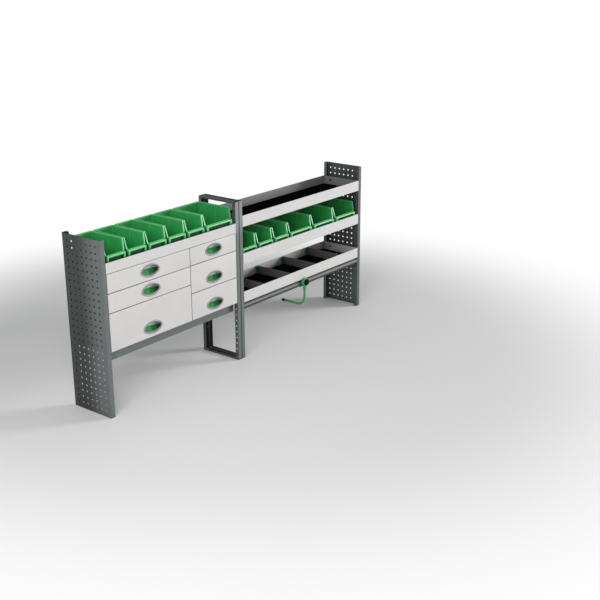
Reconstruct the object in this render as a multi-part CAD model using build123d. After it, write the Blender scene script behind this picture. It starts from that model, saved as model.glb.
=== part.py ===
from build123d import *
import math
import os

# All sizes are millimetres. The racking runs along X, faces -Y and stands on Z = 0.
# While it is modelled, X = 0 is the outer face of the left end frame and Y = 0 the front plane.

# Perforated end frames
hole_pitch = 38.0
hole_size = 10.0
hole_rows = 26
hole_columns = 7
frame_sheet = 2.0
fold_radius = 4.0
upright_width = 32.5
lip_depth = 24.0

# Open middle frames, which stand back to back
bottom_beam = 11.0
top_beam = 11.0
fixing_radius = 4.25
floor_fixing_inset = 60.0
wall_fixing_inset = 76.0

# Bays between the frames
left_bay = 1044.5
right_bay = 1239.0

# Trays
tray_sheet = 2.0
hem_thickness = 4.0
hem_height = 9.0
left_tray_lip = 61.0
tray_lip = 70.0
lower_tray_z = 371.0
bin_tray_z = 620.0
top_tray_z = 860.0
cable_slot_length = 24.0
cable_slot_width = 12.0
cable_slot_inset = 60.0
cable_slot_rise = 42.0
cable_slot_corner = 4.0
mat_thickness = 12.0
mat_gap = 1.0

# Drawer cabinet
cabinet_bottom = 384.0
cabinet_height = 450.0
left_column = 639.5
cabinet_sheet = 2.0
cabinet_front = 20.0
cabinet_back_gap = 2.0
plinth_setback = 36.0
plinth_height = 62.0
plinth_flange = 22.0
plinth_end_gap = 2.0

# Drawers, with the fronts' shares of the height from the top down
left_front_shares = (0.25, 0.25, 0.5)
right_front_shares = (0.245, 0.382, 0.373)
front_gap = 2.5
front_sheet = 2.0
front_return = 16.0
drawer_sheet = 2.0
drawer_side_gap = 14.0
drawer_floor_rise = 14.0
drawer_head_gap = 22.0
drawer_back_gap = 18.0
runner_depth = 11.0
runner_height = 24.0
runner_sheet = 2.0
runner_rise = 30.0
runner_front_gap = 4.0
runner_back_gap = 14.0
slide_gap = 0.5

# Drawer handles: an oval bezel with a finger cup and a sprung paddle
handle_rise = 58.0
bezel_length = 142.0
bezel_height = 76.0
bezel_end_radius = 22.0
bezel_rim = 9.0
bezel_front = 5.0
cup_wall = 2.0
cup_depth = 20.0
bezel_fit = 0.3
paddle_gap = 2.5
paddle_top = 8.0
paddle_thickness = 3.0
paddle_crown_radius = 260.0
paddle_proud = 2.5
paddle_pin = 2.5
paddle_pin_fit = 0.05
paddle_pin_rise = 12.0
paddle_pin_set = 6.5
paddle_ear = 3.0
paddle_ear_x = 30.0
paddle_ear_front = 1.0
paddle_ear_reach = 4.0

# Storage bins
narrow_bin_share = 0.1461
wide_bin_share = 0.2326
bin_height = 155.0
bin_front_y = 15.0
bin_back_gap = 7.0
bin_wall = 2.5
bin_rim = 5.0
bin_rim_depth = 5.0
bin_taper = 12.0
bin_end_taper = 6.0
bin_lip = 88.0
bin_scoop = 15.0
bin_bar = 14.0
bin_bar_corner = 4.0
bin_bar_reach = 9.0
bin_block = 12.0
bin_block_height = 28.0
bin_lift_gap = 0.3
left_bin_gap = 4.0
right_bin_gap = 8.8

# Loose dividers of the lower tray
divider_count = 4
divider_spacing = 276.0
divider_sheet = 2.0
divider_height = 55.0
divider_foot = 12.0
divider_end_gap = 5.0
clip_width = 18.0
clip_edge = 4.0
clip_depth = 12.0
clip_height = 51.0
clip_fit = 0.3

# Hook rail and sliding hook
rail_radius = 20.0
rail_wall = 2.5
rail_y = 20.0
rail_z = 340.0
rail_fit = 0.08
hook_x = 608.0
clamp_width = 34.0
clamp_wall = 6.0
boss_radius = 24.0
boss_rise = 12.0
boss_front = 22.0
boss_back = 3.0
collar_radius = 11.0
collar_drop = 38.0
knob_radius = 19.5
knob_thickness = 12.0
knob_edge = 2.0
knob_gap = 0.3
screw_radius = 4.0
screw_fit = 0.05
screw_length = 20.0
rod_radius = 8.0
rod_set = 8.0
rod_drop = 12.0
rod_bend = 45.0
rod_z = 185.0
rod_reach = 184.0
cap_radius = 10.0
cap_length = 24.0
cap_end = 4.0

# Square-necked bolts, which sit in the square holes
bolt_fit = 0.3
bolt_head = 8.0
bolt_head_height = 4.5
bolt_rise = 20.0
pair_bolt_row = 4

# Cutting tools run this far past the surface they open
overrun = 5.0

# Places worked out from the sizes above
frame_height = hole_pitch * (hole_rows + 1)
frame_depth = hole_pitch * (hole_columns + 1)
left_bay_x = upright_width
middle_x = left_bay_x + left_bay + upright_width
right_bay_x = middle_x + upright_width
right_frame_x = right_bay_x + right_bay
overall_length = right_frame_x + upright_width
cabinet_top = cabinet_bottom + cabinet_height
left_bay_end = left_bay_x + left_bay
column_seam = left_bay_x + left_column
bolt_y = lip_depth / 2
hook_centre_x = right_bay_x + hook_x
rod_y = -rod_set
knob_back_y = -boss_front - knob_gap
knob_front_y = knob_back_y - knob_thickness
bin_depth = frame_depth - tray_sheet - bin_back_gap - bin_front_y
right_tray_heights = (lower_tray_z, bin_tray_z, top_tray_z)
origin = (overall_length / 2, (frame_depth + knob_front_y) / 2, 0)


def column_spans():
    """Left and right faces of the space that each drawer column fills."""
    half_sheet = cabinet_sheet / 2
    left = (left_bay_x + cabinet_sheet, column_seam - half_sheet)
    right = (column_seam + half_sheet, left_bay_end - cabinet_sheet)
    return left, right


def drawer_places():
    """One entry for each drawer: front edges, box edges and the height of its foot."""
    outer = ((left_bay_x, column_seam), (column_seam, left_bay_end))
    places = []
    for column, shares in enumerate((left_front_shares, right_front_shares)):
        foot = cabinet_top
        for share in shares:
            height = cabinet_height * share
            foot -= height
            places.append((outer[column], column_spans()[column], foot, height))
    return places


def handle_centre(place):
    """Middle of the oval handle on one drawer's front."""
    (left, right), _, foot, _ = place
    return (left + right) / 2, foot + handle_rise


def left_bin_places():
    """Middle and width of each bin in the left tray, packed against its right end."""
    inside = left_bay - 2 * tray_sheet
    places = []
    right = left_bay_end - tray_sheet - left_bin_gap / 2
    for share in (wide_bin_share,) + (narrow_bin_share,) * 5:
        width = share * inside
        places.append((right - width / 2, width))
        right -= width + left_bin_gap
    return places[::-1]


def right_bin_places():
    """Middle and width of each bin in the right tray: narrow ones, then wide ones that fill the rest."""
    narrow = narrow_bin_share * (left_bay - 2 * tray_sheet)
    wide = (right_bay - 2 * tray_sheet) / 3 - narrow - 2 * right_bin_gap
    places = []
    left = right_bay_x + tray_sheet + right_bin_gap / 2
    for width in (narrow,) * 3 + (wide,) * 3:
        places.append((left + width / 2, width))
        left += width + right_bin_gap
    return places


def bolt_height(tray_z):
    """Height of the first row of square holes that clears the floor of a tray."""
    return hole_pitch * math.ceil((tray_z + bolt_rise) / hole_pitch)


def block(x0, x1, y0, y1, z0, z1):
    """Plain block between two opposite corners."""
    return Pos(x0, y0, z0) * Box(x1 - x0, y1 - y0, z1 - z0, align=(Align.MIN, Align.MIN, Align.MIN))


def drill(x, y, z, radius, length, direction):
    """Round tool of the given length, centred on a point and running along a direction."""
    return Plane((x, y, z), z_dir=direction) * Cylinder(radius, length)


def row_heights():
    """Heights of the rows of square holes."""
    return [hole_pitch * (row + 1) for row in range(hole_rows)]


def perforated_web():
    """Flat sheet between the two uprights of an end frame, with its square holes."""
    width = frame_depth - 2 * lip_depth
    sheet = Rectangle(width, frame_height)
    grid = GridLocations(hole_pitch, hole_pitch, hole_columns, hole_rows)
    sheet -= grid * Rectangle(hole_size, hole_size)
    web = extrude(Plane.YZ * sheet, frame_sheet)
    return Pos(0, frame_depth / 2, frame_height / 2) * web


def folded_profile(depth):
    """Channel section of an upright: a flange at the front and two legs running back."""
    outer = Pos(upright_width / 2, depth / 2) * Rectangle(upright_width, depth)
    outer = fillet(outer.vertices().group_by(Axis.Y)[0], fold_radius)
    inner_depth = depth - frame_sheet
    inner = Pos(upright_width / 2, frame_sheet + inner_depth / 2)
    return outer - inner * Rectangle(upright_width - 2 * frame_sheet, inner_depth)


def square_tools(x, y, heights):
    """Square tools that open one upright sheet at the given heights."""
    reach = frame_sheet + 2 * overrun
    return [Pos(x, y, z) * Box(reach, hole_size, hole_size) for z in heights]


def upright(tray_heights):
    """Folded upright, standing at the front of the left end frame."""
    profile = folded_profile(lip_depth)
    return extrude(profile, frame_height) - square_tools(upright_width, bolt_y, tray_heights)


def back_upright(tray_heights):
    """Upright at the wall, with square holes for its trays and round ones for wall fixings."""
    body = upright([bolt_height(z) for z in tray_heights])
    for z in (wall_fixing_inset, frame_height - wall_fixing_inset):
        body -= drill(upright_width / 2, 0, z, fixing_radius, 2 * overrun, (0, 1, 0))
    return Pos(0, frame_depth, 0) * mirror(body, about=Plane.XZ)


def pair_bolt_heights():
    """Rows of square holes where bolts join the two middle frames back to back."""
    return [hole_pitch * pair_bolt_row, frame_height - hole_pitch * pair_bolt_row]


def middle_post(profile, tools):
    """One folded post of a middle frame, with its square holes."""
    return extrude(profile, frame_height) - tools


def middle_frame(tray_heights, with_cap):
    """Open frame of folded posts at the front and back, joined by a beam at the foot and at the head."""
    inside = upright_width - frame_sheet
    back = frame_depth - lip_depth
    front = folded_profile(lip_depth)
    rear = Pos(0, frame_depth) * mirror(front, about=Plane.XZ)
    tray_holes = [bolt_height(z) for z in tray_heights]
    front_tools = square_tools(upright_width, bolt_y, row_heights())
    front_tools += square_tools(0, bolt_y, pair_bolt_heights())
    rear_tools = square_tools(upright_width, frame_depth - bolt_y, tray_holes)
    rear_tools += square_tools(0, frame_depth - bolt_y, pair_bolt_heights())
    foot = block(0, upright_width, lip_depth, back, 0, bottom_beam)
    foot -= block(frame_sheet, inside, lip_depth, back, frame_sheet, bottom_beam + overrun)
    for y in (floor_fixing_inset, frame_depth - floor_fixing_inset):
        foot -= drill(upright_width / 2, y, 0, fixing_radius, 2 * overrun, (0, 0, 1))
    window_top = frame_height - top_beam
    head = block(0, upright_width, lip_depth, back, window_top, frame_height)
    cap = frame_sheet if with_cap else -overrun
    head -= block(frame_sheet, inside, lip_depth, back, window_top - overrun, frame_height - cap)
    posts = [middle_post(front, front_tools), middle_post(rear, rear_tools)]
    return [*posts, foot, *head.solids()]


def tray(x, length, z, lip):
    """Folded tray with a floor, four walls, a hemmed front edge and a cable slot in each end."""
    outer = block(x, x + length, 0, frame_depth, z, z + lip)
    back = frame_depth - tray_sheet
    right = x + length - tray_sheet
    body = outer - block(x + tray_sheet, right, tray_sheet, back, z + tray_sheet, z + lip + overrun)
    body += block(x, x + length, 0, hem_thickness, z + lip - hem_height, z + lip)
    slot = Rectangle(cable_slot_length, cable_slot_width)
    slot = chamfer(slot.vertices(), cable_slot_corner)
    slot = extrude(Plane.YZ * slot, length + 2 * overrun)
    body -= Pos(x - overrun, frame_depth - cable_slot_inset, z + cable_slot_rise) * slot
    for end in (x, x + length):
        for y in (bolt_y, frame_depth - bolt_y):
            body -= square_tools(end, y, [bolt_height(z)])
    return body


def mat(x, length, z):
    """Rubber mat that lies on a tray floor."""
    inset = tray_sheet + mat_gap
    floor = z + tray_sheet
    return block(x + inset, x + length - inset, inset, frame_depth - inset, floor, floor + mat_thickness)


def cabinet_sides():
    """The two outer walls of the drawer cabinet."""
    back = frame_depth - cabinet_back_gap
    low = cabinet_bottom + cabinet_sheet
    left = block(left_bay_x, left_bay_x + cabinet_sheet, cabinet_front, back, low, cabinet_top)
    right = block(left_bay_end - cabinet_sheet, left_bay_end, cabinet_front, back, low, cabinet_top)
    return left, right


def cabinet_divider():
    """Wall between the two drawer columns."""
    back = frame_depth - cabinet_back_gap - cabinet_sheet
    left = column_seam - cabinet_sheet / 2
    low = cabinet_bottom + cabinet_sheet
    return block(left, left + cabinet_sheet, cabinet_front, back, low, cabinet_top)


def cabinet_back():
    """Rear wall of the drawer cabinet."""
    back = frame_depth - cabinet_back_gap
    left = left_bay_x + cabinet_sheet
    right = left_bay_end - cabinet_sheet
    return block(left, right, back - cabinet_sheet, back, cabinet_bottom + cabinet_sheet, cabinet_top)


def cabinet_base():
    """Floor of the drawer cabinet."""
    back = frame_depth - cabinet_back_gap
    top = cabinet_bottom + cabinet_sheet
    return block(left_bay_x, left_bay_end, cabinet_front, back, cabinet_bottom, top)


def plinth():
    """Folded rail that carries the front of the cabinet, set back behind the uprights' lips."""
    outer = Rectangle(plinth_flange, plinth_height, align=(Align.MIN, Align.MAX))
    outer = fillet(outer.vertices().group_by(Axis.X)[0], fold_radius)
    hollow_height = plinth_height - 2 * frame_sheet
    hollow = Rectangle(plinth_flange, hollow_height, align=(Align.MIN, Align.MAX))
    section = outer - Pos(frame_sheet, -frame_sheet) * hollow
    rail = extrude(Plane.YZ * section, left_bay - 2 * plinth_end_gap)
    return Pos(left_bay_x + plinth_end_gap, plinth_setback, cabinet_bottom) * rail


def runner_pair(place):
    """Left and right channels that one drawer slides in."""
    _, (left, right), foot, _ = place
    outer = Rectangle(runner_depth, runner_height, align=(Align.MIN, Align.CENTER))
    groove = Rectangle(runner_depth, runner_height - 2 * runner_sheet, align=(Align.MIN, Align.CENTER))
    section = outer - Pos(runner_sheet, 0) * groove
    front = cabinet_front + runner_front_gap
    back = frame_depth - cabinet_back_gap - cabinet_sheet - runner_back_gap
    channel = extrude(Plane.XZ * section, front - back)
    height = foot + runner_rise
    mirrored = mirror(channel, about=Plane.YZ)
    return Pos(left, front, height) * channel, Pos(right, front, height) * mirrored


def arch_radius():
    """Radius of the long arcs above and below the handle, which meet its end arcs smoothly."""
    end_x = bezel_length / 2 - bezel_end_radius
    rise = bezel_height / 2 - bezel_end_radius
    return (end_x**2 + rise**2) / (2 * rise) + bezel_end_radius


def handle_oval(shrink):
    """Four-arc oval of a handle, drawn in by an even margin."""
    end_x = bezel_length / 2 - bezel_end_radius
    reach = bezel_end_radius - shrink
    lean = math.atan2(arch_radius() - bezel_height / 2, end_x)
    corner_x = end_x + reach * math.cos(lean)
    corner_z = reach * math.sin(lean)
    top = bezel_height / 2 - shrink
    side = bezel_length / 2 - shrink
    arcs = [
        ThreePointArc((-corner_x, corner_z), (0, top), (corner_x, corner_z)),
        ThreePointArc((corner_x, corner_z), (side, 0), (corner_x, -corner_z)),
        ThreePointArc((corner_x, -corner_z), (0, -top), (-corner_x, -corner_z)),
        ThreePointArc((-corner_x, -corner_z), (-side, 0), (-corner_x, corner_z)),
    ]
    return make_face([arc.edge() for arc in arcs])


def oval_prism(outline, front, back):
    """Outline of a handle carried from one depth to another, behind the front plane."""
    return Pos(0, front, 0) * extrude(Plane.XZ * outline, front - back)


def slide_bar(wall_x, box_x, foot, box_back):
    """Folded channel on the left side of a drawer box, which rides in the runner."""
    outer_x = wall_x + runner_sheet + slide_gap
    half = runner_height / 2 - runner_sheet - slide_gap
    front = cabinet_front + runner_front_gap
    z = foot + runner_rise
    bar = block(outer_x, box_x, front, box_back, z - half, z + half)
    hollow = half - drawer_sheet
    return bar - block(outer_x + drawer_sheet, box_x, front, box_back, z - hollow, z + hollow)


def drawer(place):
    """Steel drawer: a folded front, an open box behind it and a slide bar on each side."""
    (left, right), (wall_left, wall_right), foot, height = place
    half_gap = front_gap / 2
    x0, x1 = left + half_gap, right - half_gap
    z0, z1 = foot + half_gap, foot + height - half_gap
    pan = block(x0, x1, 0, front_return, z0, z1)
    inner = (x0 + front_sheet, x1 - front_sheet, front_sheet, front_return + overrun)
    pan -= block(*inner, z0 + front_sheet, z1 - front_sheet)
    box_left, box_right = wall_left + drawer_side_gap, wall_right - drawer_side_gap
    box_back = frame_depth - cabinet_back_gap - cabinet_sheet - drawer_back_gap
    floor = foot + drawer_floor_rise
    head = foot + height - drawer_head_gap
    box = block(box_left, box_right, front_sheet, box_back, floor, head)
    box -= block(
        box_left + drawer_sheet,
        box_right - drawer_sheet,
        front_sheet,
        box_back - drawer_sheet,
        floor + drawer_sheet,
        head + overrun,
    )
    body = pan + box
    body += slide_bar(wall_left, box_left, foot, box_back)
    body += mirror(slide_bar(-wall_right, -box_right, foot, box_back), about=Plane.YZ)
    centre_x, centre_z = handle_centre(place)
    hole = oval_prism(handle_oval(bezel_rim - cup_wall - bezel_fit), -overrun, front_sheet + overrun)
    return body - Pos(centre_x, 0, centre_z) * hole


def pin_height():
    """Height of the paddle's pins, counted from the middle of the handle."""
    return paddle_pin_rise + bezel_rim - bezel_height / 2


def pin_end():
    """Distance from the handle's middle to the end of a pin, inside the wall of the cup."""
    fall = arch_radius() - bezel_height / 2 - pin_height()
    inner = math.sqrt((arch_radius() - bezel_rim) ** 2 - fall**2)
    return inner + cup_wall


def bezel(place):
    """Oval plastic surround with the finger cup moulded behind it and a square socket for each pin."""
    ring = oval_prism(handle_oval(0), -bezel_front, 0)
    cup = oval_prism(handle_oval(bezel_rim - cup_wall), 0, cup_depth)
    hollow = oval_prism(handle_oval(bezel_rim), -bezel_front - overrun, cup_depth - cup_wall)
    body = ring + cup - hollow
    half = paddle_pin + paddle_pin_fit
    socket = Box(2 * (pin_end() + overrun), 2 * half, 2 * half)
    body -= Pos(0, paddle_pin_set, pin_height()) * socket
    centre_x, centre_z = handle_centre(place)
    return Pos(centre_x, 0, centre_z) * body


def crown(set_back):
    """Upright cylinder that bows towards the front, a given distance behind the paddle's face."""
    middle_y = paddle_crown_radius - paddle_proud + set_back
    return Pos(0, middle_y, 0) * Cylinder(paddle_crown_radius, bezel_height)


def latch(place):
    """Crowned paddle that fills the lower part of the oval, with an ear and a pin at each end."""
    outline = handle_oval(bezel_rim + paddle_gap)
    above = Rectangle(bezel_length, bezel_height, align=(Align.CENTER, Align.MIN))
    outline -= Pos(0, paddle_top) * above
    slab = oval_prism(outline, -paddle_proud, cup_depth - cup_wall)
    body = (slab & crown(0)) - crown(paddle_thickness)
    z = pin_height()
    ear_end = paddle_ear_x + paddle_ear
    ear_back = paddle_pin_set + paddle_ear_reach
    ear_z = (z - paddle_ear_reach, z + paddle_ear_reach)
    ear = block(paddle_ear_x, ear_end, paddle_ear_front, ear_back, *ear_z)
    pin_x = (ear_end + pin_end()) / 2
    ear += drill(pin_x, paddle_pin_set, z, paddle_pin, pin_end() - ear_end, (1, 0, 0))
    centre_x, centre_z = handle_centre(place)
    return Pos(centre_x, 0, centre_z) * (body + ear + mirror(ear, about=Plane.YZ))


def rect_loft(low_width, low_y, high_width, high_y):
    """Drafted block of a bin: its foot and its mouth are rectangles, centred in X."""
    foot = Pos(0, sum(low_y) / 2) * Rectangle(low_width, low_y[1] - low_y[0])
    mouth = Pos(0, sum(high_y) / 2, bin_height) * Rectangle(high_width, high_y[1] - high_y[0])
    return loft([foot, mouth], ruled=True)


def scoop_cut(width, inset):
    """Tool that opens the front of a bin: level over the lip, then steep up to the mouth."""
    lip = bin_lip - inset
    top = bin_height - inset
    front = bin_bar_reach + bin_wall + inset
    outline = Polygon(
        (-overrun, lip),
        (front, lip),
        (front + bin_scoop, top),
        (bin_depth + overrun, top),
        (bin_depth + overrun, bin_height + overrun),
        (-overrun, bin_height + overrun),
        align=None,
    )
    return Pos(-width / 2 - overrun, 0, 0) * extrude(Plane.YZ * outline, width + 2 * overrun)


def storage_bin(width):
    """Open-fronted plastic bin: drafted walls, a rim along every edge and a rounded front bar."""
    mouth_width = width - 2 * bin_rim
    foot_width = mouth_width - 2 * bin_taper
    mouth_y = (bin_bar_reach, bin_depth - bin_rim)
    foot_y = (bin_bar_reach + bin_end_taper, bin_depth - bin_rim - bin_end_taper)
    shell = rect_loft(foot_width, foot_y, mouth_width, mouth_y) - scoop_cut(width, 0)
    rim_foot = (foot_y[0], foot_y[1] + bin_rim)
    rim = rect_loft(foot_width + 2 * bin_rim, rim_foot, width, (mouth_y[0], bin_depth))
    rim = (rim - scoop_cut(width, 0)) & scoop_cut(width, bin_rim_depth)
    wall = 2 * bin_wall
    hollow = rect_loft(
        foot_width - wall,
        (foot_y[0] + bin_wall, foot_y[1] - bin_wall),
        mouth_width - wall,
        (mouth_y[0] + bin_wall, mouth_y[1] - bin_wall),
    )
    hollow -= block(-width, width, 0, bin_depth, -overrun, bin_wall)
    body = shell + rim + front_bar(foot_width)
    return body - hollow


def front_bar(foot_width):
    """Grip with sloped edges along the front lip, between two upright end blocks."""
    lip_width = foot_width + 2 * bin_taper * bin_lip / bin_height
    half = lip_width / 2
    front_wall = bin_bar_reach + bin_end_taper
    section = Rectangle(front_wall, bin_bar, align=(Align.MIN, Align.MAX))
    section = chamfer(section.vertices().group_by(Axis.X)[0], bin_bar_corner)
    bar = extrude(Plane.YZ * section, lip_width - bin_block)
    bar = Pos((bin_block - lip_width) / 2, 0, bin_lip) * bar
    for side in (-half, half - bin_block):
        bar += block(side, side + bin_block, 0, front_wall, bin_lip - bin_block_height, bin_lip)
    return bar


def divider_x(index):
    """Middle of one of the evenly spaced dividers, which stand about the middle of the tray."""
    return right_bay_x + right_bay / 2 + divider_spacing * (index - (divider_count - 1) / 2)


def divider_floor():
    """Height at which the dividers and clips stand on the lower mat."""
    return lower_tray_z + tray_sheet + mat_thickness + clip_fit


def divider(index):
    """Loose upright sheet across the lower tray, with a folded foot."""
    left = divider_x(index) - divider_sheet / 2
    low = divider_floor()
    front = hem_thickness + divider_end_gap
    back = frame_depth - tray_sheet - divider_end_gap
    body = block(left, left + divider_sheet, front, back, low, low + divider_height)
    return body + block(left, left + divider_foot, front, back - clip_depth, low, low + divider_sheet)


def divider_clip(index):
    """Plastic clip on the rear wall of the tray, slotted for a divider."""
    centre = divider_x(index)
    right = centre + clip_edge
    back = frame_depth - tray_sheet
    front = back - clip_depth
    low = divider_floor()
    body = block(right - clip_width, right, front, back, low, low + clip_height)
    half = divider_sheet / 2 + clip_fit
    slot_back = back - divider_end_gap + clip_fit
    top = low + clip_height + overrun
    return body - block(centre - half, centre + half, front - overrun, slot_back, low - overrun, top)


def hook_rail():
    """Round tube between the middle frame and the right frame."""
    section = Circle(rail_radius) - Circle(rail_radius - rail_wall)
    tube = extrude(Plane.YZ * section, right_bay)
    return Pos(right_bay_x, rail_y, rail_z) * tube


def hook_clamp():
    """Clamp body: a ring round the rail, a round boss for the screw and a collar for the rod."""
    ring = drill(hook_centre_x, rail_y, rail_z, rail_radius + clamp_wall, clamp_width, (1, 0, 0))
    boss_z = rail_z + boss_rise
    boss_length = boss_front - boss_back
    boss_y = -(boss_front + boss_back) / 2
    boss = drill(hook_centre_x, boss_y, boss_z, boss_radius, boss_length, (0, 1, 0))
    collar_low = rail_z - collar_drop
    collar_z = (collar_low + rail_z) / 2
    collar = drill(hook_centre_x, rod_y, collar_z, collar_radius, collar_drop, (0, 0, 1))
    body = ring + boss + collar
    body -= drill(hook_centre_x, rail_y, rail_z, rail_radius + rail_fit, clamp_width + overrun, (1, 0, 0))
    body -= drill(hook_centre_x, -boss_front, boss_z, screw_radius + screw_fit, 2 * boss_front, (0, 1, 0))
    socket = rail_z - rod_drop - collar_low
    return body - drill(hook_centre_x, rod_y, collar_low, rod_radius, 2 * socket, (0, 0, 1))


def hook_rod():
    """Bent rod: down from the clamp, then level towards the wall."""
    top = rail_z - rod_drop
    turn_y = rod_y + rod_bend
    turn_z = rod_z + rod_bend
    drop = drill(hook_centre_x, rod_y, (top + turn_z) / 2, rod_radius, top - turn_z, (0, 0, 1))
    length = rod_reach - turn_y
    level = drill(hook_centre_x, turn_y + length / 2, rod_z, rod_radius, length, (0, 1, 0))
    section = Plane((hook_centre_x, rod_y, turn_z)) * Circle(rod_radius)
    bend = revolve(section, Axis((hook_centre_x, turn_y, turn_z), (1, 0, 0)), 90)
    return drop + bend + level


def hook_cap():
    """Black cap pushed over the end of the rod."""
    start = rod_reach + cap_end - cap_length
    body = drill(hook_centre_x, start + cap_length / 2, rod_z, cap_radius, cap_length, (0, 1, 0))
    bore = drill(hook_centre_x, rod_reach - cap_length / 2, rod_z, rod_radius, cap_length, (0, 1, 0))
    return body - bore


def hook_knob():
    """Round clamping knob with its screw."""
    height = rail_z + boss_rise
    centre_y = (knob_front_y + knob_back_y) / 2
    body = drill(hook_centre_x, centre_y, height, knob_radius, knob_thickness, (0, 1, 0))
    body = chamfer(body.edges().group_by(Axis.Y)[0], knob_edge)
    screw_y = knob_back_y + screw_length / 2
    return body + drill(hook_centre_x, screw_y, height, screw_radius, screw_length, (0, 1, 0))


def bolt(x, y, z, direction):
    """Bolt whose hexagon head stands on a face and whose square neck fills two square holes."""
    head = extrude(RegularPolygon(bolt_head, 6), bolt_head_height)
    side = hole_size - 2 * bolt_fit
    grip = tray_sheet + frame_sheet
    neck = Pos(0, 0, -grip / 2) * Box(side, side, grip)
    return Plane((x, y, z), x_dir=(0, 1, 0), z_dir=direction) * (head + neck)


def frame_bolts():
    """Bolts between the middle frames, and those that hold the ends of the trays."""
    bolts = []
    trays = [(left_bay_x, left_bay_end, cabinet_top)]
    trays += [(right_bay_x, right_frame_x, z) for z in right_tray_heights]
    for y in (bolt_y, frame_depth - bolt_y):
        for z in pair_bolt_heights():
            bolts.append(bolt(middle_x - frame_sheet, y, z, (-1, 0, 0)))
        for left, right, tray_z in trays:
            bolts.append(bolt(left + tray_sheet, y, bolt_height(tray_z), (1, 0, 0)))
            bolts.append(bolt(right - tray_sheet, y, bolt_height(tray_z), (-1, 0, 0)))
    return bolts


def save(node, *solids):
    """Writes one node, with the origin under the middle of the whole racking."""
    shift = Pos(*(-value for value in origin))
    moved = [shift * solid for solid in solids]
    shape = moved[0] if len(moved) == 1 else Compound(children=moved)
    export_step(shape, f"parts/{node}.step")


def build_frames():
    """End frames and middle frames, with their bolts."""
    to_middle = Pos(middle_x, 0, 0)
    to_right = Pos(overall_length, 0, 0)
    save("left_panel", perforated_web())
    save("left_front_upright", upright(row_heights()))
    save("left_back_upright", back_upright([cabinet_top]))
    save("right_panel", to_right * mirror(perforated_web(), about=Plane.YZ))
    save("right_front_upright", to_right * mirror(upright(row_heights()), about=Plane.YZ))
    save("right_back_upright", to_right * mirror(back_upright(right_tray_heights), about=Plane.YZ))
    left_pieces = middle_frame([cabinet_top], True)
    save("middle_left_frame", *[to_middle * mirror(piece, about=Plane.YZ) for piece in left_pieces])
    save("middle_right_frame", *[to_middle * piece for piece in middle_frame(right_tray_heights, False)])
    save("frame_bolts", *frame_bolts())


def build_trays():
    """Trays, mats and the dividers of the lower tray."""
    save("left_tray", tray(left_bay_x, left_bay, cabinet_top, left_tray_lip))
    save("lower_tray", tray(right_bay_x, right_bay, lower_tray_z, tray_lip))
    save("bin_tray", tray(right_bay_x, right_bay, bin_tray_z, tray_lip))
    save("top_tray", tray(right_bay_x, right_bay, top_tray_z, tray_lip))
    save("tray_mats", mat(right_bay_x, right_bay, lower_tray_z), mat(right_bay_x, right_bay, top_tray_z))
    for index in range(divider_count):
        save(f"divider_{index + 1}", divider(index))
    save("divider_clips", *[divider_clip(index) for index in range(divider_count)])


def build_cabinet():
    """Drawer cabinet, its plinth and its drawers with their handles."""
    places = drawer_places()
    save("cabinet_sides", *cabinet_sides())
    save("cabinet_divider", cabinet_divider())
    save("cabinet_back", cabinet_back())
    save("cabinet_base", cabinet_base())
    save("cabinet_plinth", plinth())
    save("drawer_runners", *[runner for place in places for runner in runner_pair(place)])
    for number, place in enumerate(places, start=1):
        save(f"drawer_{number}", drawer(place))
        save(f"handle_bezel_{number}", bezel(place))
        save(f"latch_paddle_{number}", latch(place))


def build_bins():
    """Storage bins of both trays, standing on the tray floors."""
    rows = (("left", cabinet_top, left_bin_places()), ("right", bin_tray_z, right_bin_places()))
    for side, tray_z, places in rows:
        floor = tray_z + tray_sheet + bin_lift_gap
        made = {width: storage_bin(width) for _, width in places}
        for number, (centre, width) in enumerate(places, start=1):
            save(f"{side}_bin_{number}", Pos(centre, bin_front_y, floor) * made[width])


def build_hook():
    """Hook rail and the sliding hook on it."""
    save("hook_rail", hook_rail())
    save("hook_clamp", hook_clamp())
    save("hook_rod", hook_rod())
    save("hook_cap", hook_cap())
    save("hook_knob", hook_knob())


os.makedirs("parts", exist_ok=True)
build_frames()
build_trays()
build_cabinet()
build_bins()
build_hook()
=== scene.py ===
"""Looks of a van racking system: finishes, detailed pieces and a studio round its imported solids."""

import math

import bmesh
import bpy
from bmesh.types import BMEdge, BMVert
from bpy.props import FloatProperty, FloatVectorProperty, PointerProperty
from mathutils import Matrix, Vector


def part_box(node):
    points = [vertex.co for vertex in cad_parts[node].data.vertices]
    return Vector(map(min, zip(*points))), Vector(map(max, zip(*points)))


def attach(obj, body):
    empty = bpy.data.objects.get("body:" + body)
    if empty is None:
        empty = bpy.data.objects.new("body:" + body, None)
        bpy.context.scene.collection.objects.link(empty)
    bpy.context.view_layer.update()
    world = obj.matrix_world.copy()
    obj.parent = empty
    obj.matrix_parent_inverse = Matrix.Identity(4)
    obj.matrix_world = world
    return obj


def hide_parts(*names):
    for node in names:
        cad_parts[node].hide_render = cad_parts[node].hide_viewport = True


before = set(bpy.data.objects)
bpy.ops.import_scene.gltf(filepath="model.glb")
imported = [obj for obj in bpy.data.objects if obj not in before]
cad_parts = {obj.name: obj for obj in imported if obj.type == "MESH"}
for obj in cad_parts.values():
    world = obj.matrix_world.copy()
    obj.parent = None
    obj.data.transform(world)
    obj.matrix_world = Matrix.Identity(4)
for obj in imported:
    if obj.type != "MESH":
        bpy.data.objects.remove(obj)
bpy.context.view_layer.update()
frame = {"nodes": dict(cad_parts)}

bl_info = {
    "name": "Van racking looks",
    "version": (1, 0, 0),
    "blender": (4, 2, 0),
    "location": "3D View > Sidebar > Racking",
    "description": "Paints the racking's sheet metal and builds its bins, handles, hook and studio",
    "category": "Object",
}

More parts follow.
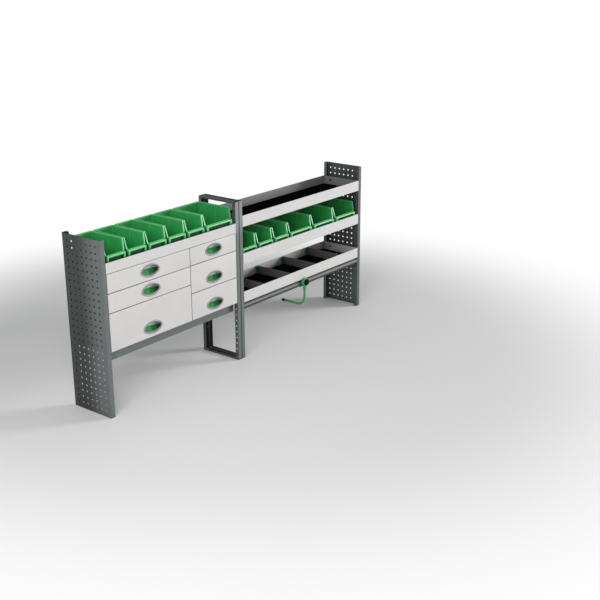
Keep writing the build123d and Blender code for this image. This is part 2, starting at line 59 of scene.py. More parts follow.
MILLIMETRE = 0.001
SMOOTH_LIMIT = math.radians(32)
FLAT_LIMIT = math.radians(20)
COPLANAR_LIMIT = math.radians(1)
FINISH_ENDING = "_finish"
# Vertex attribute that the finishes read: 1 on pale parts that also carry painted highlights or painted
# light, and on rib tops; down to -1 where shade is painted in seams and hollows.
MARK = "pale_band"

# CAD nodes that keep their solids, by the finish that they get.
METAL_NODES = {
    "frame_paint": ("left_front_upright", "right_back_upright", "cabinet_plinth"),
    "end_paint": ("left_panel", "left_back_upright"),
    "inner_paint": ("middle_left_frame", "middle_right_frame"),
    "right_paint": ("right_panel", "right_front_upright"),
    "white_paint": ("cabinet_sides", "cabinet_divider", "cabinet_back", "cabinet_base"),
    "tray_paint": ("lower_tray", "bin_tray"),
    "top_tray_paint": ("top_tray",),
    "left_tray_paint": ("left_tray",),
    "grey_paint": [f"divider_{number}" for number in range(1, 5)],
    "zinc": ("frame_bolts", "drawer_runners"),
}
DRAWER_NUMBERS = range(1, 7)
BINS = [f"{side}_bin_{number}" for side in ("left", "right") for number in range(1, 7)]

EDGE_SAMPLES = 6

# Lengths below are in millimetres.
CAD_WELD = 0.01
SPIN_WELD = 0.001
ON_PLANE = 0.1
NEAR = 1.0
SEAM_FRONT = 0.3
SEAM_BACK = 0.5
MAT_ROUNDING = 0.8
RIB_INSET = 2.0
RAIL_PLAY = 0.1
FLUTE_REACH = 4.0
SCREW_ROOT = 1.0

# Round pieces: (inset, height) pairs from the foot and (inset, depth) pairs from the head.
RING_EDGE = ((1.5, 0.0), (0.0, 1.5), (0.0, 5.0), (1.0, 6.5))
BOSS_HEAD = ((0.0, 2.5), (0.8, 0.8), (2.5, 0.0), (5.0, 0.0), (6.0, 1.5))
COLLAR_FOOT = ((2.0, 0.0), (0.6, 0.6), (0.0, 2.0))
COLLAR_HEAD = ((0.0, 2.0), (2.0, 0.0))
CAP_RINGS = ((0.0, 0.8), (0.0, 2.4), (0.7, 3.2), (0.7, 6.0), (0.0, 6.8), (0.0, 8.4), (0.7, 9.2))
CAP_FOOT = ((0.6, 0.0), *CAP_RINGS)
CAP_HEAD = ((0.7, 5.0), (1.6, 2.2), (4.0, 0.5))
KNOB_FOOT = ((2.5, 0.0), (0.6, 0.8), (0.0, 2.5))
KNOB_HEAD = ((0.0, 4.5), (0.8, 2.6), (3.0, 1.4), (6.0, 1.6), (9.0, 0.6), (12.0, 0.0))

# Bezel: (inset, distance back) pairs at its outside and at its rim, then pairs behind the finger cup.
BEZEL_OUTSIDE = ((0.0, 5.0), (0.0, 2.4), (0.5, 1.0), (1.6, 0.2), (3.0, 0.0))
BEZEL_RIM = ((2.6, 0.3), (1.2, 1.2), (0.3, 3.0), (0.0, 6.0))
CUP_FLOOR = ((0.6, 4.0), (2.0, 1.2), (5.0, 0.0))
BEZEL_BACK = 5.0
OVAL_POINTS = 72

PADDLE_GRID = (48, 28)
PADDLE_SETBACK = 2.2
DISH_LOSS = 0.35
TOP_SWELL = 0.8
PIN_START = 30.0
PIN_BACK = 9.0
PIN_DROP = 17.0
PIN_RADIUS = 2.5

FOOT_ROUNDING = 3.0
RIM_EASE = 8.0
LIP_SHARE = 0.57
LEAST_BLOCK = 9.0
BAR_ROUNDING = 1.0
BLOCK_ROUNDING = 1.8

# The stage, in metres.
FLOOR_REACH = 14
FLOOR_FADE = (1.6, 3.3)
LAMP_SIZE = 3.0
KEY_PLACE, KEY_TARGET = (7.9, -6.2, 2.5), (0, 0, 0.5)
FILL_PLACE, FILL_TARGET = (-4.4, -2.3, 3.2), (-0.6, 0, 0.5)
SKY_COLOUR = (0.97, 0.985, 1.0, 1.0)
WHITE = (1.0, 1.0, 1.0, 1.0)
SENSOR_WIDTH = 36


def colour_property(name, description, value):
    """Colour that a user may change, in linear light."""
    return FloatVectorProperty(
        name=name, description=description, default=value, subtype="COLOR", min=0, max=1, size=3
    )


def size_property(name, description, value):
    """Length that a user may change, in millimetres."""
    return FloatProperty(name=name, description=description, default=value, min=0)


def number_property(name, description, value, unit="NONE"):
    """Number that a user may change."""
    return FloatProperty(name=name, description=description, default=value, unit=unit)


class RackingPaint(bpy.types.PropertyGroup):
    """Colours and texture of the painted metal."""

    frame: colour_property("Frames", "Powder coat of the frames", (0.125, 0.142, 0.14))
    white: colour_property("Drawers and trays", "Off-white powder coat", (0.61, 0.6, 0.592))
    tray_inside: colour_property("Tray insides", "Greyer colour inside the trays", (0.5, 0.495, 0.485))
    # Painted shade inside the top tray.
    top_inside_shade: colour_property("Top tray inside", "Painted shade inside the top tray", (0.2, 0.205, 0.2))
    grey: colour_property("Dividers", "Mid grey powder coat", (0.12, 0.125, 0.122))
    rail: colour_property("Hook rail", "Paint of the round tube", (0.135, 0.144, 0.142))
    # Painted shade on the rail's underside.
    rail_under_shade: colour_property("Rail underside", "Painted shade below the tube", (0.014, 0.0155, 0.0155))
    # Painted shade on the end frames towards the wall.
    frame_rear_shade: colour_property("Frames at the rear", "Painted shade towards the wall", (0.018, 0.021, 0.0205))
    hook: colour_property("Hook", "Green paint of the hook", (0.045, 0.33, 0.1))
    zinc: colour_property("Zinc", "Plating of bolts and runners", (0.5, 0.51, 0.52))
    lip_face: number_property("Lip face", "Plane behind the trays' white lips", -0.1332, "LENGTH")
    # The edges are paler from scuffing and from painted highlights.
    edge_width: size_property("Edge width", "Width of the rubbed edges, in millimetres", 2.4)


class RackingPlastic(bpy.types.PropertyGroup):
    """Colours of the moulded plastic and the rubber."""

    bins: colour_property("Bins", "Moulded green of the bins", (0.035, 0.36, 0.09))
    # Pale green with painted highlights on the bins' edges and grips.
    bin_edges: colour_property("Bin edges", "Paler green of the edges and grips", (0.15, 0.6, 0.24))
    clips: colour_property("Clips", "Moulded green of the divider clips", (0.012, 0.2, 0.075))
    paddles: colour_property("Paddles", "Satin green of the drawer paddles", (0.005, 0.12, 0.02))
    # Painted highlight at the paddles' lit ends.
    paddle_lit_ends: colour_property("Paddle ends", "Paler green of the paddles' ends", (0.024, 0.28, 0.062))
    bezels: colour_property("Bezels", "Satin grey of the drawer handles", (0.27, 0.28, 0.275))
    # Painted light in the finger cups, which lie in shade.
    cups: colour_property("Finger cups", "Lighter grey inside the drawer handles", (0.62, 0.62, 0.63))
    black: colour_property("Black plastic", "Knob and cap of the hook", (0.006, 0.006, 0.0065))
    rubber: colour_property("Mats", "Black ribbed rubber", (0.0022, 0.0022, 0.0022))


class RackingBins(bpy.types.PropertyGroup):
    """Sizes of a storage bin, in millimetres."""

    wall: size_property("Wall", "Thickness of the bin's walls", 2.4)
    rim: size_property("Rim", "Reach of the rim beyond the walls", 4.6)
    rim_drop: size_property("Rim drop", "Height of the rim's turned-down skirt", 4.5)
    taper: size_property("Taper", "Draft of each side wall from mouth to foot", 12.0)
    end_taper: size_property("End taper", "Draft of the front and rear walls", 6.0)
    lip: size_property("Front height", "Height of the low front wall", 88.0)
    scoop: size_property("Scoop", "Run of the slanted front edges", 15.0)
    corner: size_property("Corner", "Radius of the upright corners", 7.0)
    bar: size_property("Bar", "Diameter of the grip bar", 14.0)
    bar_reach: size_property("Bar reach", "Distance of the front wall behind the bar's front", 9.0)
    block_share: number_property("Block share", "Width of an end block as a share of the bin", 0.075)
    block_height: size_property("Block height", "Height of the end blocks", 46.0)
    step: size_property("Step", "Inward step of each side wall behind its middle", 2.4)
    step_place: size_property("Step place", "Distance of the step behind the bin's front", 132.0)
    pale_band: size_property("Pale band", "Width of the lighter band along the edges", 5.0)


class RackingDrawers(bpy.types.PropertyGroup):
    """Sizes of a drawer's front and its handle, in millimetres."""

    fold: size_property("Fold", "Rounding of the front's folded edges", 2.4)
    end_radius: size_property("End radius", "Radius of the oval's two ends", 22.0)
    rim: size_property("Rim", "Width of the bezel's rim", 9.0)
    cup_wall: size_property("Cup wall", "Thickness of the finger cup", 2.0)
    paddle_gap: size_property("Paddle gap", "Gap round the paddle", 3.6)
    paddle_top: size_property("Paddle top", "Top of the paddle above the handle's middle", 8.0)
    paddle_dish: size_property("Dish radius", "Radius of the paddle's dished face", 130.0)
    paddle_thickness: size_property("Paddle thickness", "Thickness of the paddle", 3.0)


class RackingMats(bpy.types.PropertyGroup):
    """Sizes of the rubber mats, in millimetres."""

    thickness: size_property("Thickness", "Thickness of a mat with its ribs", 12.0)
    rib_pitch: size_property("Rib pitch", "Distance between the ribs", 6.0)
    rib_rise: size_property("Rib rise", "Height of the ribs", 1.2)


class RackingHook(bpy.types.PropertyGroup):
    """Sizes of the rail and the sliding hook, in millimetres."""

    rail_wall: size_property("Rail wall", "Thickness of the rail's wall", 2.5)
    ring_width: size_property("Ring width", "Width of the clamp's ring", 34.0)
    boss: size_property("Boss", "Radius of the boss behind the knob", 27.0)
    collar: size_property("Collar", "Radius of the collar round the rod", 11.0)
    bend: size_property("Bend", "Radius of the rod's bend", 60.0)
    knob: size_property("Knob", "Radius of the knob", 21.5)
    knob_thickness: size_property("Knob thickness", "Thickness of the knob", 12.0)
    flutes: number_property("Flutes", "Hollows round the knob", 10.0)
    flute_depth: size_property("Flute depth", "Depth of the hollows", 1.6)
    screw: size_property("Screw", "Radius of the knob's screw", 4.0)


class RackingStudio(bpy.types.PropertyGroup):
    """Floor, light and camera."""

    floor: colour_property("Floor", "Pale floor", (0.86, 0.856, 0.85))
    key: number_property("Key light", "Power of the large lamp", 720.0, "POWER")
    fill: number_property("Fill light", "Power of the weak lamp", 145.0, "POWER")
    sky: number_property("Sky", "Strength of the light from all round", 0.34)
    camera_place: FloatVectorProperty(
        name="Camera place",
        description="Where the photograph was taken from",
        default=(-4.64175, -4.15285, 2.490),
        subtype="TRANSLATION",
        unit="LENGTH",
    )
    camera_turn: FloatVectorProperty(
        name="Camera turn",
        description="Yaw, tilt and roll of the camera",
        default=tuple(map(math.radians, (-52.01, 70.91, -0.17))),
        unit="ROTATION",
    )
    lens: number_property("Lens", "Focal length", 61.48)


class RackingLooks(bpy.types.PropertyGroup):
    """All settings of the racking's looks."""

    paint: PointerProperty(type=RackingPaint)
    plastic: PointerProperty(type=RackingPlastic)
    bins: PointerProperty(type=RackingBins)
    drawers: PointerProperty(type=RackingDrawers)
    mats: PointerProperty(type=RackingMats)
    hook: PointerProperty(type=RackingHook)
    studio: PointerProperty(type=RackingStudio)


class Socket:
    """One output of a shading node. Sums with it become Math nodes."""

    def __init__(self, shading, source):
        self.shading = shading
        self.source = source

    def __add__(self, other):
        return self.shading.maths("ADD", self, other)

    __radd__ = __add__

    def __sub__(self, other):
        return self.shading.maths("SUBTRACT", self, other)

    def __rsub__(self, other):
        return self.shading.maths("SUBTRACT", other, self)

    def __mul__(self, other):
        return self.shading.maths("MULTIPLY", self, other)


class Shading:
    """Nodes of a material or a world in the making."""

    def __init__(self, owner):
        self.owner = owner
        owner.use_nodes = True
        self.tree = owner.node_tree
        self.tree.nodes.clear()

    def node(self, kind, settings=None, values=None, output=0):
        """Adds a node, sets it up and returns one of its outputs."""
        made = self.tree.nodes.new("ShaderNode" + kind)
        for key, value in (settings or {}).items():
            setattr(made, key, value)
        for key, value in (values or {}).items():
            if isinstance(value, Socket):
                self.tree.links.new(value.source, made.inputs[key])
            else:
                made.inputs[key].default_value = value
        return Socket(self, made.outputs[output])

    def maths(self, operation, first, second):
        """Sum of two values."""
        return self.node("Math", {"operation": operation}, {0: first, 1: second})

    def close(self, shader, kind="OutputMaterial"):
        """Ends the shading with a shader. Returns the material or the world."""
        out = self.tree.nodes.new("ShaderNode" + kind)
        self.tree.links.new(shader.source, out.inputs["Surface"])
        return self.owner


class Finish(Shading):
    """A material in the making, whose colour map grows layer by layer from one colour."""

    def __init__(self, name, colour, start=1.0):
        super().__init__(bpy.data.materials.new(name + FINISH_ENDING))
        self.base = colour
        self.colour = tint(colour, start)
        self.place = self.node("TexCoord", output="Object")

    def stretch(self, scales):
        """Place on the piece, drawn out along its axes."""
        return self.node("Mapping", None, {"Vector": self.place, "Scale": scales})

    def noise(self, scale, detail=3.0, place=None, roughness=0.5):
        """Soft noise from 0 to 1, with features about 1 / scale metres across."""
        values = {"Vector": place or self.place, "Scale": scale, "Detail": detail, "Roughness": roughness}
        return self.node("TexNoise", None, values)

    def ramp(self, value, start, end):
        """Carries one range of a value smoothly onto 0 to 1."""
        settings = {"interpolation_type": "SMOOTHSTEP"}
        return self.node("MapRange", settings, {"Value": value, "From Min": start, "From Max": end})

    def layer(self, mask, shade):
        """Lays a colour over the map, or its base colour made lighter or darker."""
        colours = (self.colour, tint(self.base, shade) if isinstance(shade, float) else shade)
        under, over = (c if isinstance(c, Socket) else (*c, 1.0) for c in colours)
        self.colour = self.node("Mix", {"data_type": "RGBA"}, {0: mask, 6: under, 7: over}, 2)

    def along(self, axis):
        """Place on the piece along one axis, in metres."""
        return self.node("SeparateXYZ", None, {"Vector": self.place}, axis)

    def mark(self):
        """What the piece's vertices are marked with."""
        return self.node("Attribute", {"attribute_name": MARK}, None, "Fac")

    def rounded_normal(self, width):
        """Surface direction with every edge rounded over a width in millimetres."""
        return self.node("Bevel", {"samples": EDGE_SAMPLES}, {"Radius": width * MILLIMETRE})

    def edges(self, rounded):
        """Mask of the edges, from the rounded surface direction."""
        flat = self.node("NewGeometry", output="Normal")
        facing = self.node("VectorMath", {"operation": "DOT_PRODUCT"}, {0: rounded, 1: flat}, "Value")
        return self.ramp(facing, start=0.995, end=0.8)

    def recesses(self, distance):
        """Mask for painted shade in the corners and hollows, within a distance in millimetres."""
        values = {"Distance": distance * MILLIMETRE}
        open_share = self.node("AmbientOcclusion", {"samples": EDGE_SAMPLES}, values, "AO")
        return self.ramp(open_share, start=0.8, end=0.15)

    def bump(self, height, distance, normal=None):
        """Relief of a height map, in millimetres."""
        values = {"Height": height, "Distance": distance * MILLIMETRE, "Strength": 1.0}
        if normal:
            values["Normal"] = normal
        return self.node("Bump", None, values)

    def surface(self, roughness, normal, constants):
        """Principled shader with the colour map."""
        values = {"Base Color": self.colour, "Roughness": roughness, "Normal": normal}
        return self.node("BsdfPrincipled", None, {**values, **constants})


def tint(colour, factor):
    """Colour made lighter or darker."""
    return tuple(min(1.0, part * factor) for part in colour)


def powder_coat(name, colour, roughness=0.4, wear_and_highlight=1.6, zones=(), seam=None, recess_shade=0.7):
    """Baked powder paint: orange peel, mottling, handling marks, edges paler from scuffing and from
    painted highlights along the folds, and painted shade in seams and recesses.

    A zone is an axis, where its colour starts and where it is full, in metres, and that colour.
    """
    finish = Finish(name, colour, start=0.93)
    mottle = finish.noise(5.0, detail=4.0)
    speckle = finish.noise(420.0, detail=2.0)
    streaks = finish.noise(26.0, 6.0, finish.stretch((1.0, 1.0, 0.18)), roughness=0.7)
    marks = finish.ramp(streaks, 0.6, 0.75)
    finish.layer(mottle, 1.06)
    finish.layer(speckle * 0.35, 0.8)
    finish.layer(marks * 0.12, 1.25)
    # Zones that paint shade or a highlight along an axis, or the greyer tray insides.
    for axis, start, end, zone_colour in zones:
        finish.layer(finish.ramp(finish.along(axis), start, end) * (0.85 + mottle * 0.15), zone_colour)
    rounded = finish.rounded_normal(looks().paint.edge_width)
    # Edges paler from scuffing, and wide enough to stand as painted highlights along the folds.
    worn_and_highlit_edges = finish.edges(rounded) * finish.ramp(finish.noise(60.0, detail=5.0), 0.3, 0.62)
    finish.layer(worn_and_highlit_edges * 0.75, wear_and_highlight)
    # Painted shade in corners and recesses.
    finish.layer(finish.recesses(70.0) * recess_shade, 0.22)
    # Painted shade in the marked seams, and in the groove along a given seam line.
    seam_shade = finish.ramp(finish.mark(), -0.1, -0.7) * (0.35 + mottle * 0.2)
    if seam is not None:
        beside = finish.node("Math", {"operation": "ABSOLUTE"}, {0: finish.along("X") - seam})
        band = finish.ramp(beside, 6.0 * MILLIMETRE, 3.0 * MILLIMETRE)
        seam_shade = seam_shade + band * (0.7 + mottle * 0.3)
    finish.layer(seam_shade, 0.2)
    shine = roughness + (speckle - 0.5) * 0.12 - worn_and_highlit_edges * 0.1 + marks * 0.06
    peel = finish.bump(finish.noise(650.0, detail=2.0) + speckle * 0.5, 0.05, rounded)
    finish.close(finish.surface(shine, peel, {"Specular IOR Level": 0.45}))


def moulded_plastic(
    name,
    colour,
    roughness=0.4,
    pale=1.4,
    edge_width=0.8,
    grain=0.02,
    pale_and_lit_colour=None,
    recess_shade=0.4,
    gloss=0.5,
    hollow=45.0,
):
    """Injection-moulded plastic: flow marks, fine grain, scuffs, edges pale from stress and from painted
    highlights, marked painted light and shade, and painted shade in hollows.
    """
    finish = Finish(name, colour, start=0.88)
    flow = finish.noise(9.0, 5.0, finish.stretch((1.0, 1.0, 2.2)))
    scratches = finish.noise(45.0, 7.0, finish.stretch((1.0, 0.3, 1.0)), roughness=0.72)
    scuffs = finish.ramp(scratches, 0.58, 0.72)
    texture = finish.noise(1300.0, detail=2.0)
    finish.layer(flow, 1.1)
    finish.layer(scuffs * 0.14, 1.5)
    rounded = finish.rounded_normal(edge_width)
    # Edges pale from stress, and paler still as painted highlights where gloss catches the light.
    pale_and_highlit_edges = finish.edges(rounded) * finish.ramp(finish.noise(80.0, detail=4.0), 0.25, 0.6)
    finish.layer(pale_and_highlit_edges * 0.6, pale)
    if pale_and_lit_colour is not None:
        # Positive marks: pale colour with painted highlights or painted light; negative marks: painted
        # shade.
        mark = finish.mark()
        finish.layer(finish.ramp(mark, 0.1, 0.6) * (0.75 + flow * 0.25), pale_and_lit_colour)
        finish.layer(finish.ramp(mark, -0.1, -0.6) * 0.9, 0.08)
    # Painted shade in hollows and corners.
    finish.layer(finish.recesses(hollow) * recess_shade, 0.25)
    shine = roughness + (flow - 0.5) * 0.1 + scuffs * 0.12
    relief = finish.bump(texture + scuffs * 0.3, grain, rounded)
    finish.close(finish.surface(shine, relief, {"Specular IOR Level": gloss}))


def zinc_plate(name, colour):
    """Zinc plating: spangled grey with dull patches."""
    finish = Finish(name, colour, start=0.8)
    cells = {"Vector": finish.place, "Scale": 260.0}
    spangle = finish.node("TexVoronoi", {"feature": "F1"}, cells, "Color")
    patches = finish.noise(90.0, detail=5.0)
    level = finish.node("SeparateColor", None, {"Color": spangle})
    finish.layer(level, 1.15)
    finish.layer(finish.ramp(patches, 0.5, 0.7) * 0.5, 0.6)
    relief = finish.bump(level, 0.01, finish.rounded_normal(0.5))
    finish.close(finish.surface(0.28 + patches * 0.25, relief, {"Metallic": 0.9}))


def ribbed_rubber(name, colour):
    """Black matting, dusty between its ribs and scuffed grey on top of them."""
    finish = Finish(name, colour)
    ribs = finish.mark()
    dust = finish.ramp(finish.noise(14.0, detail=6.0, roughness=0.65), 0.4, 0.75)
    finish.layer((1 - ribs) * (0.25 + dust * 0.75) * 0.5, 7.0)
    finish.layer(ribs * dust * 0.3, 4.0)
    finish.layer(finish.noise(300.0) * 0.4, 1.6)
    relief = finish.bump(finish.noise(900.0), 0.1)
    finish.close(finish.surface(0.8 + dust * 0.15, relief, {"Specular IOR Level": 0.0}))


def looks():
    """The scene's settings."""
    return bpy.context.scene.racking_looks


def finish_named(name):
    """Material that an operator has made."""
    found = bpy.data.materials.get(name + FINISH_ENDING)
    if found is None:
        raise RuntimeError(f"the finish {name} has to be made first")
    return found


def dress(node, name):
    """Puts one finish on a CAD node."""
    materials = frame["nodes"][node].data.materials
    materials.clear()
    materials.append(finish_named(name))


def bounds_of(node):
    """Corners of a CAD node, in millimetres."""
    low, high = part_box(node)
    return low / MILLIMETRE, high / MILLIMETRE


def new_piece(name, bm, body, slot, *nodes):
    """Closes a mesh made in millimetres as a piece that rides on a body and stands for CAD nodes."""
    bmesh.ops.transform(bm, matrix=Matrix.Scale(MILLIMETRE, 4), verts=bm.verts)
    bmesh.ops.recalc_face_normals(bm, faces=bm.faces)
    mesh = bpy.data.meshes.new(name)
    bm.to_mesh(mesh)
    bm.free()
    mesh.shade_smooth()
    mesh.set_sharp_from_angle(angle=SMOOTH_LIMIT)
    mesh.materials.append(finish_named(slot))
    piece = bpy.data.objects.new(name, mesh)
    bpy.context.scene.collection.objects.link(piece)
    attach(piece, body)
    if nodes:
        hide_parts(*nodes)
    return piece


def round_edges(bm, edges, offset, segments=2):
    """Rounds edges by an even margin."""
    bmesh.ops.bevel(
        bm, geom=list(edges), offset=offset, segments=segments, profile=0.5, affect="EDGES", material=-1
    )


def slab(bm, low, high, rounding=0.0, segments=2):
    """Block between two corners. Returns its corners, unless its edges are rounded."""
    low, high = Vector(low), Vector(high)
    verts = bmesh.ops.create_cube(bm, size=1)["verts"]
    for vert in verts:
        vert.co = (low + high) / 2 + Vector([a * b for a, b in zip(vert.co, high - low)])
    if rounding:
        edges = {edge for vert in verts for edge in vert.link_edges}
        round_edges(bm, edges, rounding, segments)
        return []
    return verts


def rod(bm, start, end, radius, segments=24):
    """Round bar between two points."""
    start, end = Vector(start), Vector(end)
    along = end - start
    turn = along.to_track_quat("Z", "Y").to_matrix().to_4x4()
    bmesh.ops.create_cone(
        bm,
        cap_ends=True,
        segments=segments,
        radius1=radius,
        radius2=radius,
        depth=along.length,
        matrix=Matrix.Translation((start + end) / 2) @ turn,
    )


def circle(bm, segments, radius, capped=True, place=Matrix()):
    """Round outline. Returns its vertices and its edges."""
    made = bmesh.ops.create_circle(bm, segments=segments, radius=radius, cap_ends=capped, matrix=place)
    verts = made["verts"]
    return verts, list({edge for vert in verts for edge in vert.link_edges})


def extruded(bm, edges):
    """Extrudes an open outline. Returns its new vertices and its open edges."""
    made = bmesh.ops.extrude_edge_only(bm, edges=edges)["geom"]
    verts = [part for part in made if isinstance(part, BMVert)]
    return verts, [part for part in made if isinstance(part, BMEdge) and part.is_boundary]


def cut(bm, point, normal, clear=False):
    """Adds edges where a plane crosses the mesh, or clears what lies beyond it."""
    geometry = list(bm.verts) + list(bm.edges) + list(bm.faces)
    bmesh.ops.bisect_plane(bm, geom=geometry, plane_co=point, plane_no=normal, clear_outer=clear)


def slope_plane(size, height):
    """Foot and direction of the plane through a bin's slanted front edges."""
    foot = Vector((0, size.bar_reach + size.end_taper, size.lip))
    return foot, Vector((0, size.lip - height, size.scoop)).normalized()


def whole_copy(node):
    """Copy of a CAD node in millimetres, with its flat faces in one piece."""
    copy = bmesh.new()
    copy.from_mesh(frame["nodes"][node].data)
    bmesh.ops.transform(copy, matrix=Matrix.Scale(1 / MILLIMETRE, 4), verts=copy.verts)
    bmesh.ops.remove_doubles(copy, verts=copy.verts, dist=CAD_WELD)
    bmesh.ops.dissolve_limit(copy, angle_limit=COPLANAR_LIMIT, verts=copy.verts, edges=copy.edges)
    return copy


def outline(radius, length, foot, head):
    """Radii and heights of a round piece, from pairs measured in from its radius and its two ends."""
    lower = [(radius - inset, height) for inset, height in foot]
    return lower + [(radius - inset, length - depth) for inset, depth in head]


def turned(bm, profile, place, steps, closed=False):
    """Round piece: an outline of radii and heights spun a full turn, then put in its place."""
    before = set(bm.verts)
    verts = [bm.verts.new((radius, 0, height)) for radius, height in profile]
    pairs = list(zip(verts, verts[1:])) + ([(verts[-1], verts[0])] if closed else [])
    edges = [bm.edges.new(pair) for pair in pairs]
    bmesh.ops.spin(
        bm,
        geom=verts + edges,
        cent=(0, 0, 0),
        axis=(0, 0, 1),
        angle=2 * math.pi,
        steps=steps,
        use_merge=True,
    )
    made = [vert for vert in bm.verts if vert not in before]
    bmesh.ops.remove_doubles(bm, verts=made, dist=SPIN_WELD)
    made = [vert for vert in bm.verts if vert not in before]
    bmesh.ops.transform(bm, matrix=place, verts=made)
    return made


def drawer_front(number):
    """Drawer with the outer edges of its folded front rounded and the seams behind them marked for painted
    shade.
    """
    node = f"drawer_{number}"
    low, high = bounds_of(node)
    case = whole_copy(node)
    sides = ((0, low.x), (0, high.x), (2, low.z), (2, high.z))
    outer = []
    for edge in case.edges:
        ends = [vert.co for vert in edge.verts]
        on_rim = any(all(abs(end[axis] - value) < ON_PLANE for end in ends) for axis, value in sides)
        if on_rim and all(end.y - low.y < ON_PLANE for end in ends):
            outer.append(edge)
    fold = looks().drawers.fold
    round_edges(case, outer, fold, 3)
    layer = case.verts.layers.float.new(MARK)
    for vert in case.verts:
        depth = vert.co.y - low.y
        beside = min(vert.co.x - low.x, high.x - vert.co.x, vert.co.z - low.z, high.z - vert.co.z)
        # Vertices in the seams behind the rounded edges get -1 for painted shade.
        vert[layer] = -1.0 if SEAM_FRONT < depth < fold + SEAM_BACK and beside < fold else 0.0
    piece = new_piece(f"drawer_case_{number}", case, node, "white_paint", node)
    piece.data.set_sharp_from_angle(angle=FLAT_LIMIT)
    return piece


def mats():
    """Two rubber mats with fine ribs from front to back, marked on top."""
    size = looks().mats
    low, high = bounds_of("tray_mats")
    rubber = bmesh.new()
    layer = rubber.verts.layers.float.new(MARK)
    ribs = int((high.x - low.x) / size.rib_pitch)
    start = (low.x + high.x) / 2 - size.rib_pitch * (ribs - 1) / 2
    half, reach = size.rib_pitch / 4, 2 * size.rib_rise
    for foot in (low.z, high.z - size.thickness):
        top = foot + size.thickness
        slab(rubber, (low.x, low.y, foot), (high.x, high.y, top - size.rib_rise), MAT_ROUNDING)
        for rib in range(ribs):
            x = start + size.rib_pitch * rib
            near, far = (x - half, low.y + RIB_INSET, top - reach), (x + half, high.y - RIB_INSET, top)
            for vert in slab(rubber, near, far):
                vert[layer] = 1.0
    return new_piece("ribbed_mats", rubber, "rack", "mat_rubber", "tray_mats")


def rail():
    """Round rail, open at both ends."""
    low, high = bounds_of("hook_rail")
    middle = (low + high) / 2
    tube = bmesh.new()
    place = lying((low.x, middle.y, middle.z), "Y")
    edges = circle(tube, 64, (high.z - low.z) / 2, False, place)[1]
    far = extruded(tube, edges)[0]
    bmesh.ops.translate(tube, verts=far, vec=(high.x - low.x, 0, 0))
    bmesh.ops.recalc_face_normals(tube, faces=tube.faces)
    bmesh.ops.solidify(tube, geom=tube.faces[:], thickness=looks().hook.rail_wall)
    return new_piece("rail_tube", tube, "rack", "rail_paint", "hook_rail")


def lying(place, axis, quarters=1):
    """Lays a round piece's upright axis over by quarter turns about another axis, and moves it."""
    return Matrix.Translation(place) @ Matrix.Rotation(quarters * math.pi / 2, 4, axis)


def clamp():
    """Clamp body: a ring round the rail, a round boss for the knob and a collar for the rod."""
    size = looks().hook
    low, high = bounds_of("hook_clamp")
    rail_low, rail_high = bounds_of("hook_rail")
    rod_low, rod_high = bounds_of("hook_rod")
    knob_low, knob_high = bounds_of("hook_knob")
    x = (low.x + high.x) / 2
    rail_middle = (rail_low + rail_high) / 2
    body = bmesh.new()
    bore = (rail_high.z - rail_low.z) / 2 + RAIL_PLAY
    outer, width = high.y - rail_middle.y, size.ring_width
    ring = [(bore, 0), *outline(outer, width, RING_EDGE, RING_EDGE[::-1]), (bore, width)]
    turned(body, ring, lying((x - width / 2, rail_middle.y, rail_middle.z), "Y"), 64, closed=True)
    length = rail_middle.y - bore - low.y
    boss = [(0, 0), (size.boss, 0), *outline(size.boss, length, (), BOSS_HEAD)]
    boss.append((0, boss[-1][1]))
    turned(body, boss, lying((x, low.y + length, (knob_low.z + knob_high.z) / 2), "X"), 64)
    tall = rail_middle.z - low.z
    collar = [(0, 0), *outline(size.collar, tall, COLLAR_FOOT, COLLAR_HEAD), (0, tall)]
    rod_y = rod_low.y + (rod_high.x - rod_low.x) / 2
    turned(body, collar, Matrix.Translation((x, rod_y, low.z)), 40)
    return new_piece("clamp_body", body, "hook", "hook_green", "hook_clamp")


def bent_rod():
    """Rod that runs down from the clamp, bends and runs level to the rear."""
    bend = looks().hook.bend
    low, high = bounds_of("hook_rod")
    radius = (high.x - low.x) / 2
    start = Vector(((low.x + high.x) / 2, low.y + radius, high.z))
    centre = Vector((start.x, start.y + bend, low.z + radius + bend))
    bar = bmesh.new()
    edges = circle(bar, 32, radius, True, Matrix.Translation(start))[1]
    lower, edges = extruded(bar, edges)
    bmesh.ops.translate(bar, verts=lower, vec=(0, 0, centre.z - start.z))
    made = bmesh.ops.spin(
        bar, geom=lower + edges, cent=centre, axis=(1, 0, 0), angle=math.pi / 2, steps=16
    )["geom_last"]
    last, edges = extruded(bar, [part for part in made if isinstance(part, BMEdge)])
    bmesh.ops.translate(bar, verts=last, vec=(0, high.y - centre.y, 0))
    bmesh.ops.contextual_create(bar, geom=edges)
    return new_piece("bent_rod", bar, "hook", "hook_green", "hook_rod")


def end_cap():
    """Push-on cap with a domed end and two raised rings."""
    low, high = bounds_of("hook_cap")
    middle = (low + high) / 2
    length = high.y - low.y
    bore = bounds_of("hook_rod")[1].x - middle.x
    profile = [(bore, 0), *outline((high.x - low.x) / 2, length, CAP_FOOT, CAP_HEAD), (0, length)]
    cap = bmesh.new()
    turned(cap, profile, lying((middle.x, low.y, middle.z), "X", quarters=-1), 40)
    bmesh.ops.contextual_create(cap, geom=[edge for edge in cap.edges if edge.is_boundary])
    return new_piece("end_cap", cap, "hook", "black_plastic", "hook_cap")


